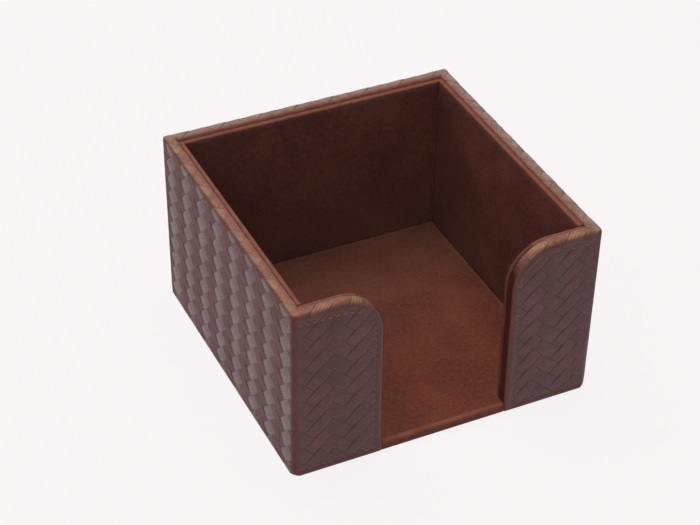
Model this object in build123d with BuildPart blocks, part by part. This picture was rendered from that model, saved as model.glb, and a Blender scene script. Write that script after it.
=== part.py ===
"""Leather memo box: an open square box for loose note sheets, with a thumb notch in its front wall.

Board walls stand on a board base. One strip of embossed leather wraps the outside: it is turned
over the rim and round the notch edges, and its lower edge is turned under the base. Five lining
panels and a floor panel close the inside, and a felt sheet covers the turned edges below.

The origin is the centre of the felt's underside, +Z is up and the notch faces -Y.
"""
import os

from build123d import *

os.makedirs("parts", exist_ok=True)

# ---------------------------------------------------------------- driving dimensions (mm)
box_width = 105.0  # outside, along X
box_depth = 105.0  # outside, along Y
box_height = 64.5  # from the table to the top of the rim

corner_radius = 2.5  # upright corners of the leather cover
rim_radius = 1.9  # outer edge of the rim and of the notch
rim_inner_radius = 0.8  # edge of the cover where it dips to the lining
foot_radius = 0.8  # lower edge of the cover

notch_width = 43.5  # between the two cheeks of the front wall
notch_corner_radius = 15.0  # rounded shoulder of each cheek

cover_skin = 1.0  # embossed outer leather
skived_skin = 0.4  # the same leather, pared thin where it is turned in behind the boards
turn_in = 12.0  # how far it reaches behind the rim and the notch edges
turn_under = 14.0  # how far it reaches below the base
turn_under_skin = 0.5  # its thickness there

wall_board_thickness = 2.6
base_board_thickness = 2.0

lining_skin = 0.8  # smooth inner leather
lining_card_thickness = 0.8  # stiffener inside each wall lining
lining_drop = 1.2  # how far the lining stays below the rim
lining_edge_radius = 0.6  # soft edge of a lining panel
floor_card_thickness = 0.5  # stiffener inside the floor lining
floor_front_radius = 1.8  # floor leather where it rolls over the front edge
floor_gap = 0.15  # between the floor panel and what stands round it

felt_thickness = 0.6
felt_inset = 2.5  # from the outside of the box to the felt's edge
felt_corner_radius = 3.0
filler_card_gap = 0.2  # between the filler card and the turned-under leather

# ---------------------------------------------------------------- levels
base_underside = felt_thickness + turn_under_skin
base_top = base_underside + base_board_thickness
floor_card_top = base_top + floor_card_thickness
floor_top = floor_card_top + lining_skin
board_top = box_height - cover_skin
lining_top = box_height - lining_drop
shoulder_level = box_height - notch_corner_radius  # where the rounded shoulders begin

# ---------------------------------------------------------------- half widths and half depths
board_x = box_width / 2 - cover_skin
board_y = box_depth / 2 - cover_skin
board_inner_x = board_x - wall_board_thickness
board_inner_y = board_y - wall_board_thickness
cover_inner_x = board_inner_x - skived_skin
cover_inner_y = board_inner_y - skived_skin
lining_thickness = lining_card_thickness + lining_skin
cavity_x = cover_inner_x - lining_thickness
cavity_y = cover_inner_y - lining_thickness
frame_x = box_width / 2 - turn_under  # inner edge of the turned-under leather
frame_y = box_depth / 2 - turn_under
notch_x = notch_width / 2

STANDING = (Align.CENTER, Align.CENTER, Align.MIN)


def notch_opening(half_width: float, top: float, bottom: float) -> Sketch:
    """Outline of the opening between the two shoulders.

    The sketch's x runs along the front wall and its y runs up. Each shoulder starts to round at
    the shoulder level, so the opening widens towards the rim.
    """
    radius = top - shoulder_level
    outer = half_width + radius
    with BuildSketch() as opening:
        with BuildLine():
            Polyline((half_width, shoulder_level), (half_width, bottom), (-half_width, bottom),
                     (-half_width, shoulder_level))
            RadiusArc((-outer, top), (-half_width, shoulder_level), radius)
            Polyline((-outer, top), (-outer, top + radius), (outer, top + radius), (outer, top))
            RadiusArc((half_width, shoulder_level), (outer, top), radius)
        make_face()
    return opening.sketch


def back_edge(part: Part, level: int) -> Edge:
    """Rearmost edge at the lowest (0) or highest (-1) level of a part.

    A fillet on it runs on by itself along the tangent edges, round the corners of the box and
    down the shoulders of the notch.
    """
    return part.edges().group_by(Axis.Z)[level].sort_by(Axis.Y)[-1]


# ---------------------------------------------------------------- wall boards
# One ring gives the boards their common rounding. It is cut into five at the butt joints.
with BuildPart() as wall_ring:
    with BuildSketch(Plane.XY.offset(base_top)):
        RectangleRounded(2 * board_x, 2 * board_y, corner_radius - cover_skin)
    extrude(amount=board_top - base_top)
    with BuildSketch(Plane.XZ.offset(board_y)):
        add(notch_opening(notch_x + cover_skin, board_top, base_top))
    extrude(amount=-2 * wall_board_thickness, mode=Mode.SUBTRACT)
    fillet(back_edge(wall_ring.part, -1), rim_radius - cover_skin)
    with BuildSketch(Plane.XY.offset(base_top)):
        Rectangle(2 * board_inner_x, 2 * board_inner_y)
    extrude(amount=board_top - base_top, mode=Mode.SUBTRACT)

# name: centre and size, in plan, of the block that keeps this board
board_blocks = {
    "back_board": ((0, board_y), (box_width, 2 * wall_board_thickness)),
    "left_board": ((-board_x, 0), (2 * wall_board_thickness, 2 * board_inner_y)),
    "right_board": ((board_x, 0), (2 * wall_board_thickness, 2 * board_inner_y)),
    "front_left_board": ((-board_x / 2, -board_y), (box_width / 2, 2 * wall_board_thickness)),
    "front_right_board": ((board_x / 2, -board_y), (box_width / 2, 2 * wall_board_thickness)),
}
for name, ((x, y), (size_x, size_y)) in board_blocks.items():
    with BuildPart() as board:
        add(wall_ring.part)
        with Locations((x, y, 0)):
            Box(size_x, size_y, box_height, align=STANDING, mode=Mode.INTERSECT)
    board.part.label = name
    export_step(board.part, f"parts/{name}.step")

with BuildPart() as base_board:
    with BuildSketch(Plane.XY.offset(base_underside)):
        RectangleRounded(2 * board_x, 2 * board_y, corner_radius - cover_skin)
    extrude(amount=base_board_thickness)
base_board.part.label = "base_board"
export_step(base_board.part, "parts/base_board.step")

# ---------------------------------------------------------------- outer cover
with BuildPart() as outer_cover:
    with BuildSketch(Plane.XY.offset(felt_thickness)):
        RectangleRounded(box_width, box_depth, corner_radius)
    extrude(amount=box_height - felt_thickness)
    # The notch runs down through the edge that is turned under the base.
    with BuildSketch(Plane.XZ.offset(box_depth / 2)):
        add(notch_opening(notch_x, box_height, felt_thickness))
    extrude(amount=-turn_under, mode=Mode.SUBTRACT)
    fillet(back_edge(outer_cover.part, -1), rim_radius)
    fillet(back_edge(outer_cover.part, 0), foot_radius)

    with BuildSketch(Plane.XY.offset(base_top)):
        Rectangle(2 * cover_inner_x, 2 * cover_inner_y)
    extrude(amount=box_height, mode=Mode.SUBTRACT)
    inner_rim = outer_cover.edges().group_by(Axis.Z)[-1].filter_by(
        lambda edge: abs(edge.center().X) < cover_inner_x + rim_inner_radius / 2
        and abs(edge.center().Y) < cover_inner_y + rim_inner_radius / 2
    )
    fillet(inner_rim, rim_inner_radius)
    # Below the base it is a frame, open in the middle.
    with BuildSketch(Plane.XY.offset(felt_thickness)):
        Rectangle(2 * frame_x, 2 * frame_y)
    extrude(amount=turn_under_skin, mode=Mode.SUBTRACT)

    # Behind the boards it ends at the turn-in's width from the rim and from the notch edges.
    turn_in_x = notch_x + turn_in
    with BuildSketch(Plane.XY.offset(base_top)):
        with Locations((0, -cover_inner_y)):
            Rectangle(2 * board_inner_x, cover_inner_y + board_inner_y,
                      align=(Align.CENTER, Align.MIN))
        for side in (-1, 1):
            with Locations((side * (turn_in_x + board_inner_x) / 2, -board_inner_y)):
                Rectangle(board_inner_x - turn_in_x, skived_skin, align=(Align.CENTER, Align.MIN))
    extrude(amount=box_height - turn_in - base_top, mode=Mode.SUBTRACT)
    add(wall_ring.part, mode=Mode.SUBTRACT)
    add(base_board.part, mode=Mode.SUBTRACT)
outer_cover.part.label = "outer_cover"
export_step(outer_cover.part, "parts/outer_cover.step")

# ---------------------------------------------------------------- wall linings
# A lining is a card wrapped in smooth leather over its face, top and ends. Each plane stands
# against the cover, with its normal into the box and its own y upwards.
back_plane = Plane((0, cover_inner_y, 0), x_dir=(1, 0, 0), z_dir=(0, -1, 0))
front_plane = Plane((0, -cover_inner_y, 0), x_dir=(-1, 0, 0), z_dir=(0, 1, 0))
left_plane = Plane((-cover_inner_x, 0, 0), x_dir=(0, 1, 0), z_dir=(1, 0, 0))
right_plane = Plane((cover_inner_x, 0, 0), x_dir=(0, -1, 0), z_dir=(-1, 0, 0))

# name: plane, both ends along the plane's x, and the end with the rounded shoulder, if any
lining_layout = {
    "back_lining": (back_plane, -cover_inner_x, cover_inner_x, None),
    "left_lining": (left_plane, -cavity_y, cavity_y, None),
    "right_lining": (right_plane, -cavity_y, cavity_y, None),
    "front_left_lining": (front_plane, notch_x, cover_inner_x, "start"),
    "front_right_lining": (front_plane, -cover_inner_x, -notch_x, "end"),
}


def lining_outline(start: float, end: float, shoulder: str | None, inset: float) -> Sketch:
    """Outline of a panel that stands on the base board, drawn this far inside its edges."""
    top = lining_top - inset
    with BuildSketch() as outline:
        with Locations(((start + end) / 2, base_top)):
            Rectangle(end - start - 2 * inset, top - base_top, align=(Align.CENTER, Align.MIN))
        if shoulder:
            upper_corners = outline.vertices().group_by(Axis.Y)[-1].sort_by(Axis.X)
            corner = upper_corners[0] if shoulder == "start" else upper_corners[-1]
            fillet(corner, top - shoulder_level)
    return outline.sketch


for name, (plane, start, end, shoulder) in lining_layout.items():
    with BuildPart() as card:
        with BuildSketch(plane):
            add(lining_outline(start, end, shoulder, lining_skin))
        extrude(amount=lining_card_thickness)
    card.part.label = f"{name}_card"
    export_step(card.part, f"parts/{name}_card.step")

    with BuildPart() as lining:
        with BuildSketch(plane):
            add(lining_outline(start, end, shoulder, 0))
        extrude(amount=lining_thickness)
        face = lining.faces().filter_by(Plane(plane.origin, z_dir=plane.z_dir)).sort_by(
            Axis(plane.origin, plane.z_dir))[-1]
        fillet(face.edges().sort_by(Axis.Z)[-1], lining_edge_radius)
        add(card.part, mode=Mode.SUBTRACT)
    lining.part.label = name
    export_step(lining.part, f"parts/{name}.step")


# ---------------------------------------------------------------- floor
def floor_outline(inset: float, front: float) -> Sketch:
    """Plan of the floor panel: a square between the linings and a tongue out through the notch."""
    edge = floor_gap + inset
    with BuildSketch() as outline:
        Rectangle(2 * (cavity_x - edge), 2 * (cavity_y - edge))
        with Locations((0, -front)):
            Rectangle(2 * (notch_x - edge), front, align=(Align.CENTER, Align.MIN))
    return outline.sketch


with BuildPart() as floor_card:
    with BuildSketch(Plane.XY.offset(base_top)):
        add(floor_outline(lining_skin, board_y))
    extrude(amount=floor_card_thickness)
floor_card.part.label = "floor_card"
export_step(floor_card.part, "parts/floor_card.step")

# The floor leather wraps the card, rolls over the front edge of the base and is turned under it.
floor_front = board_y + lining_skin
with BuildPart() as floor_lining:
    with BuildSketch(Plane.XY.offset(base_top)):
        add(floor_outline(0, floor_front))
    extrude(amount=floor_top - base_top)
    with BuildSketch(Plane.XY.offset(felt_thickness)):
        with Locations((0, -floor_front)):
            Rectangle(2 * (notch_x - floor_gap), floor_front - frame_y,
                      align=(Align.CENTER, Align.MIN))
    extrude(amount=base_top - felt_thickness)
    front_edges = floor_lining.faces().sort_by(Axis.Y)[0].edges().filter_by(Axis.X)
    fillet(front_edges.sort_by(Axis.Z)[-1], floor_front_radius)
    fillet(floor_lining.edges().group_by(Axis.Z)[0].sort_by(Axis.Y)[0], foot_radius)
    add(base_board.part, mode=Mode.SUBTRACT)
    add(floor_card.part, mode=Mode.SUBTRACT)
floor_lining.part.label = "floor_lining"
export_step(floor_lining.part, "parts/floor_lining.step")

# ---------------------------------------------------------------- underside
with BuildPart() as filler_card:
    with BuildSketch(Plane.XY.offset(felt_thickness)):
        Rectangle(2 * (frame_x - filler_card_gap), 2 * (frame_y - filler_card_gap))
    extrude(amount=turn_under_skin)
filler_card.part.label = "filler_card"
export_step(filler_card.part, "parts/filler_card.step")

with BuildPart() as base_felt:
    with BuildSketch():
        RectangleRounded(box_width - 2 * felt_inset, box_depth - 2 * felt_inset,
                         felt_corner_radius)
    extrude(amount=felt_thickness)
base_felt.part.label = "base_felt"
export_step(base_felt.part, "parts/base_felt.step")
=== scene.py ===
"""Leather memo box dressed for looks: embossed cover, smooth linings, stitches, felt and a plain studio.

Sizes are in millimetres up to the point where a mesh is made, and in metres from there on.
"""
from __future__ import annotations

import logging
import math
import sys
from dataclasses import dataclass, field
from enum import Enum
from typing import Callable, Iterable, Sequence

import bmesh
import bpy
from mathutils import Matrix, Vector, noise


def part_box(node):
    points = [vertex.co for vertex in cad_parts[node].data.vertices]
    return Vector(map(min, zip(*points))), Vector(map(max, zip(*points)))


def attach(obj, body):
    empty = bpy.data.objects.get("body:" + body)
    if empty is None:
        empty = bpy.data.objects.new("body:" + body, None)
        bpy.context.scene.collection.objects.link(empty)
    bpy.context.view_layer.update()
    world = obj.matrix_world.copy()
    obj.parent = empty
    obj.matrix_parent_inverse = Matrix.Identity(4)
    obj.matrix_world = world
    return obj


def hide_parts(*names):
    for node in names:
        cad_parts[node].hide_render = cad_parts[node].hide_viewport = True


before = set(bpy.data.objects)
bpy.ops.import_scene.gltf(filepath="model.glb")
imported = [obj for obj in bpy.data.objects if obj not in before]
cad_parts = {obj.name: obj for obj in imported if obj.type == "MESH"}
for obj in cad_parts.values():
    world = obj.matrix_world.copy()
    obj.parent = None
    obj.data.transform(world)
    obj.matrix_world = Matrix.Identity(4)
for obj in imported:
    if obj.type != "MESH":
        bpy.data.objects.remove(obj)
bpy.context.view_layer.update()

MM = 0.001
MERGE = 2e-6  # points of a CAD mesh nearer than this are one, in metres
HAIR = 1e-5  # two places nearer than this count as the same level, in metres
FLAT = "unrolled"  # attribute: place on the leather before it was wrapped round the box, in mm
RELIEF = "relief"  # attribute: how deep the emboss is pressed there, 0 to 1
SEAM = "seam"  # attribute: distance to the stitched line, in mm, less than 0 outside it
EDGE = "edge"  # attribute: 1 on a rolled edge, up to 2 on its side towards the linings
GAP = "gap"  # attribute: 1 at the bottom of a gap between two strands
FACING = "facing"  # attribute of a stitched line: which way the leather faces there

log = logging.getLogger("memo_box")
Point = tuple[float, float, float]
Flat = tuple[float, float]
Piece = bpy.types.Object
Finish = bpy.types.Material
Socket = bpy.types.NodeSocket
Tree = bpy.types.NodeTree


class Slot(Enum):
    """Material slots of the record."""

    COVER = "embossed_leather"
    LINING = "lining_leather"
    BOARD = "board"
    CARD = "card"
    FELT = "felt"


# ---- node helpers
class Wiring:
    """Adds nodes to one tree and joins them, so that a formula reads like a formula."""

    def __init__(self, tree: Tree) -> None:
        """Starts on a tree."""
        self.tree = tree

    def node(self, kind: str, links: dict | None = None, **settings: object) -> bpy.types.Node:
        """Adds a node.

        Args:
            kind: Blender's name of the node type.
            links: what goes into its inputs, by name or number: a socket or a plain value.
            settings: the node's own properties.

        Returns:
            The new node.
        """
        new = self.tree.nodes.new(kind)
        for name, value in settings.items():
            setattr(new, name, value)
        for key, value in (links or {}).items():
            self.feed(new.inputs[key], value)
        return new

    def feed(self, target: Socket, value: object) -> None:
        """Joins a socket to the target, or sets the target's own value.

        Args:
            target: the input socket.
            value: an output socket or a plain value.
        """
        if isinstance(value, Socket):
            self.tree.links.new(value, target)
        else:
            target.default_value = value

    def dress(self, node: bpy.types.Node, **links: object) -> None:
        """Feeds several inputs of a node by name, with _ for a space."""
        for name, value in links.items():
            self.feed(node.inputs[name.replace("_", " ")], value)

    def out(self, kind: str, links: dict | None = None, **settings: object) -> Socket:
        """Adds a node and gives its first output."""
        return self.node(kind, links, **settings).outputs[0]

    def math(self, operation: str, *values: object, clamp: bool = False) -> Socket:
        """Adds a Math node, whose result is held between 0 and 1 if it is clamped."""
        links = dict(enumerate(values))
        return self.out("ShaderNodeMath", links, operation=operation, use_clamp=clamp)

    def times(self, first: object, second: object) -> Socket:
        """The product of two values."""
        return self.math("MULTIPLY", first, second)

    def plus(self, first: object, second: object) -> Socket:
        """The sum of two values."""
        return self.math("ADD", first, second)

    def minus(self, first: object, second: object) -> Socket:
        """The first value less the second."""
        return self.math("SUBTRACT", first, second)

    def line(self, value: object, slope: object, start: object) -> Socket:
        """A straight line: the value times its slope, plus its start."""
        return self.math("MULTIPLY_ADD", value, slope, start)

    def least(self, first: object, second: object) -> Socket:
        """The lower of two values."""
        return self.math("MINIMUM", first, second)

    def most(self, first: object, second: object) -> Socket:
        """The higher of two values."""
        return self.math("MAXIMUM", first, second)

    def size(self, value: object) -> Socket:
        """The value without its sign."""
        return self.math("ABSOLUTE", value)

    def ramp(self, value: object, start: object, end: object, low: object = 0.0,
             high: object = 1.0) -> Socket:
        """Maps the range from start to end smoothly onto the one from low to high."""
        links = {"Value": value, "From Min": start, "From Max": end, "To Min": low, "To Max": high}
        return self.out("ShaderNodeMapRange", links, interpolation_type="SMOOTHSTEP")

    def blend(self, factor: object, first: object, second: object, how: str = "MIX") -> Socket:
        """Mixes two colours, from the first at a factor of 0 to the second at 1."""
        links = {0: factor, 6: first, 7: second}
        return self.node("ShaderNodeMix", links, data_type="RGBA", blend_type=how,
                         clamp_factor=True).outputs[2]

    def vector(self, operation: str, first: object, second: object) -> Socket:
        """Adds a Vector Math node, whose second value is a number for SCALE."""
        links = {0: first, "Scale" if operation == "SCALE" else 1: second}
        return self.out("ShaderNodeVectorMath", links, operation=operation)

    def split(self, place: Socket) -> Sequence[Socket]:
        """The three parts of a vector."""
        return self.node("ShaderNodeSeparateXYZ", {0: place}).outputs

    def join(self, *parts: object) -> Socket:
        """A vector from its three parts."""
        return self.out("ShaderNodeCombineXYZ", dict(enumerate(parts)))

    def place(self) -> Socket:
        """Place on the piece, in metres."""
        return self.node("ShaderNodeTexCoord").outputs["Object"]

    def attribute(self, name: str) -> Socket:
        """A number that the mesh keeps at each point."""
        return self.node("ShaderNodeAttribute", attribute_name=name).outputs["Fac"]

    def noise(self, place: Socket, scale: object, detail: float, **more: float) -> Socket:
        """Cloudy noise from 0 to 1."""
        links = {"Vector": place, "Scale": scale, "Detail": detail, **more}
        return self.out("ShaderNodeTexNoise", links)

    def group(self, tree: Tree, **links: object) -> bpy.types.bpy_prop_collection:
        """Places a shader group, feeds it and gives its outputs."""
        new = self.node("ShaderNodeGroup", node_tree=tree)
        self.dress(new, **links)
        return new.outputs

    def bump(self, height: Socket, strength: float, distance: float = 0.0001) -> Socket:
        """A normal from a height, whose full range is a distance in metres."""
        links = {"Height": height, "Strength": strength, "Distance": distance}
        return self.out("ShaderNodeBump", links)


def open_tree(kind: str, name: str, inputs: Sequence[tuple], outputs: Sequence[tuple]) -> tuple:
    """Makes a node group with named sockets.

    Args:
        kind: "Geometry" or "Shader".
        name: the group's name.
        inputs: name, kind of socket and, if it has one, the value of each input.
        outputs: name and kind of socket of each output.

    Returns:
        The wiring of the group, the sockets of its inputs and those of its outputs.
    """
    tree = bpy.data.node_groups.new(name, kind + "NodeTree")
    for title, socket, *value in inputs:
        new = tree.interface.new_socket(title, in_out="INPUT", socket_type="NodeSocket" + socket)
        if value:
            new.default_value = value[0]
    for title, socket in outputs:
        tree.interface.new_socket(title, in_out="OUTPUT", socket_type="NodeSocket" + socket)
    wiring = Wiring(tree)
    return wiring, wiring.node("NodeGroupInput").outputs, wiring.node("NodeGroupOutput").inputs


def end_tree(w: Wiring, source: Sequence[Socket], sink: Sequence[Socket], shape: Socket) -> Tree:
    """Ends a geometry tree: instances made real, and the material set.

    Args:
        w: the wiring of the tree.
        source: its inputs, with one named Material.
        sink: its outputs.
        shape: the geometry.

    Returns:
        The tree.
    """
    whole = w.out("GeometryNodeRealizeInstances", {0: shape})
    dressed = w.out("GeometryNodeSetMaterial", {"Geometry": whole, "Material": source["Material"]})
    w.feed(sink["Geometry"], dressed)
    return w.tree


def run_tree(piece: Piece, tree: Tree, values: dict) -> None:
    """Runs a geometry tree on a piece and keeps the result as a plain mesh.

    Args:
        piece: the piece, whose mesh is replaced.
        tree: the geometry node tree.
        values: the modifier's inputs by their names.
    """
    modifier = piece.modifiers.new(tree.name, "NODES")
    modifier.node_group = tree
    for item in tree.interface.items_tree:
        if item.in_out == "INPUT" and item.name in values:
            modifier[item.identifier] = values[item.name]
    depsgraph = bpy.context.evaluated_depsgraph_get()
    result = bpy.data.meshes.new_from_object(piece.evaluated_get(depsgraph), depsgraph=depsgraph)
    piece.modifiers.remove(modifier)
    old = piece.data
    piece.data = result
    bpy.data.meshes.remove(old)
    result.name = piece.name


def strand_place(w: Wiring, flat: Socket, pair: Socket, step: Socket, along0: Socket,
                 up0: Socket) -> dict[str, Socket]:
    """Herringbone weave as a formula, for geometry and shaders alike.

    The leather is divided in slanted cells. Two cells make one strand, and the strands of
    neighbouring columns slant opposite ways.

    Args:
        w: the wiring of the tree.
        flat: vector socket with the place on the unrolled leather, in mm.
        pair: width of two columns.
        step: height from one strand to the next.
        along0: where a column of rising strands begins.
        up0: where a gap between two strands begins there.

    Returns:
        Sockets: along (0 to 2), across (0 to 1), rising (1 on rising strands), tone (random), and
        side and end, the distances to the strand's nearest side and end.
    """
    x, y, _ = w.split(flat)
    along = w.math("DIVIDE", w.minus(x, along0), pair)
    slope = w.line(along, 2.0, -0.5)
    level = w.plus(w.math("DIVIDE", w.minus(y, up0), step), 0.5)
    u = w.plus(level, slope)
    v = w.minus(level, slope)
    cell_u, cell_v = w.math("FLOOR", u), w.math("FLOOR", v)
    part_u, part_v = w.minus(u, cell_u), w.minus(v, cell_v)
    kind = w.math("FLOORED_MODULO", w.minus(cell_u, cell_v), 4.0)
    rising = w.math("LESS_THAN", kind, 1.5)
    second_u = w.math("COMPARE", kind, 1.0, 0.5)
    second_v = w.math("COMPARE", kind, 2.0, 0.5)
    falling = w.minus(1.0, rising)

    def pick(up: Socket, down: Socket) -> Socket:
        """The first value on rising strands and the second on falling ones."""
        return w.plus(w.times(up, rising), w.times(down, falling))

    run = pick(w.plus(part_u, second_u), w.plus(part_v, second_v))
    across = pick(part_v, part_u)
    name_u = w.minus(cell_u, w.times(second_u, rising))
    name_v = w.minus(cell_v, w.times(second_v, falling))
    name = w.join(name_u, name_v, rising)
    tone = w.out("ShaderNodeTexWhiteNoise", {0: name}, noise_dimensions="3D")
    side = w.least(across, w.minus(1.0, across))
    end = w.least(run, w.minus(2.0, run))
    return {"along": run, "across": across, "rising": rising, "tone": tone, "side": side, "end": end}


# ---- finishes
def linear(red: int, green: int, blue: int) -> tuple[float, float, float, float]:
    """Turns a colour of 0 to 255 into Blender's linear colour."""
    shares = (value / 255 for value in (red, green, blue))
    return *(share / 12.92 if share <= 0.04045 else ((share + 0.055) / 1.055) ** 2.4
             for share in shares), 1.0


class Effects:
    """Shader groups that several finishes share, each made once."""

    def __init__(self) -> None:
        """Builds the groups."""
        self.grain = self._grain()
        self.mottle = self._mottle()
        self.wear = self._wear()

    @staticmethod
    def _grain() -> Tree:
        """Pebbled leather grain.

        Returns:
            A group with the grain's height and a mask of its creases.
        """
        w, source, sink = open_tree(
            "Shader", "leather grain",
            [("Vector", "Vector"), ("Pebble Size", "Float", 0.0007), ("Stretch", "Float", 0.25)],
            [("Height", "Float"), ("Creases", "Float")])
        bent, pebble_share, fine_share = 0.0005, 0.65, 0.35
        scale = w.math("DIVIDE", 1.0, source["Pebble Size"])
        bend = w.node("ShaderNodeTexNoise", {"Vector": source["Vector"], "Scale": scale,
                                             "Detail": 1.0}).outputs["Color"]
        place = w.vector("ADD", source["Vector"], w.vector("SCALE", bend, bent))
        cells = w.node("ShaderNodeTexVoronoi", {"Vector": place, "Scale": scale},
                       feature="DISTANCE_TO_EDGE").outputs["Distance"]
        pebble = w.ramp(cells, 0.0, source["Stretch"])
        fine = w.noise(place, w.times(scale, 3.0), 3.0)
        w.feed(sink["Height"], w.line(fine, fine_share, w.times(pebble, pebble_share)))
        w.feed(sink["Creases"], w.minus(1.0, pebble))
        return w.tree

    @staticmethod
    def _mottle() -> Tree:
        """Cloudy patches and small flecks of dye.

        Returns:
            A group with a mixed colour and the mask of the patches.
        """
        w, source, sink = open_tree(
            "Shader", "dye mottling",
            [("Vector", "Vector"), ("Patch Size", "Float", 0.02), ("Dark", "Color"),
             ("Light", "Color"), ("Contrast", "Float", 1.0)],
            [("Color", "Color"), ("Patches", "Float")])
        fleck_scale, fleck_share, cloud_share, middle, reach = 14.0, 0.7, 0.5, 0.6, 0.22
        scale = w.math("DIVIDE", 1.0, source["Patch Size"])
        cloud = w.noise(source["Vector"], scale, 4.0, Roughness=0.55, Distortion=0.4)
        fine = w.noise(source["Vector"], w.times(scale, fleck_scale), 5.0, Roughness=0.75)
        both = w.line(fine, fleck_share, w.times(cloud, cloud_share))
        patches = w.ramp(w.times(w.minus(both, middle), source["Contrast"]), -reach, reach)
        w.feed(sink["Color"], w.blend(patches, source["Dark"], source["Light"]))
        w.feed(sink["Patches"], patches)
        return w.tree

    @staticmethod
    def _wear() -> Tree:
        """Rubbed edges, broken up by noise; on the cover's rim and the floor's lip the mask also carries
        painted light.

        Returns:
            A group with the mask of the rubbed places.
        """
        w, source, sink = open_tree(
            "Shader", "edge wear",
            [("Vector", "Vector"), ("Edge", "Float"), ("Patch Size", "Float", 0.004),
             ("Amount", "Float", 0.5)],
            [("Mask", "Float")])
        least_rubbed = 0.55
        patch = w.noise(source["Vector"], w.math("DIVIDE", 1.0, source["Patch Size"]), 4.0)
        rub = w.times(w.least(source["Edge"], 1.0), w.ramp(patch, 0.3, 0.7, least_rubbed, 1.0))
        w.feed(sink["Mask"], w.math("MULTIPLY", rub, source["Amount"], clamp=True))
        return w.tree


def new_material(name: str) -> tuple[Finish, Wiring, bpy.types.Node]:
    """Makes a material with a bare Principled shader.

    Args:
        name: the material's name.

    Returns:
        The material, the wiring of its tree and the shader node.
    """
    material = bpy.data.materials.new(name)
    material.use_nodes = True
    return material, Wiring(material.node_tree), material.node_tree.nodes["Principled BSDF"]


@dataclass(frozen=True)
class Weave:
    """Herringbone weave pressed into the cover."""

    pair: float = 13.188  # width of two columns
    step: float = 6.33  # from one strand to the next, upwards
    along0: float = 3.46  # start of a column of rising strands
    up0: float = 49.45  # a gap's level there
    ridges: float = 5.0  # fine lines on each strand

    def inputs(self) -> list[tuple]:
        """The weave's inputs for a group's interface."""
        return [("Column Pair", "Float", self.pair), ("Strand Step", "Float", self.step),
                ("Start Along", "Float", self.along0), ("Start Up", "Float", self.up0),
                ("Ridges", "Float", self.ridges)]

    def sockets(self, source: Sequence[Socket]) -> list[Socket]:
        """All of those inputs but the last, inside the group."""
        return [source[title] for title, *_ in self.inputs()[:-1]]


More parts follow.
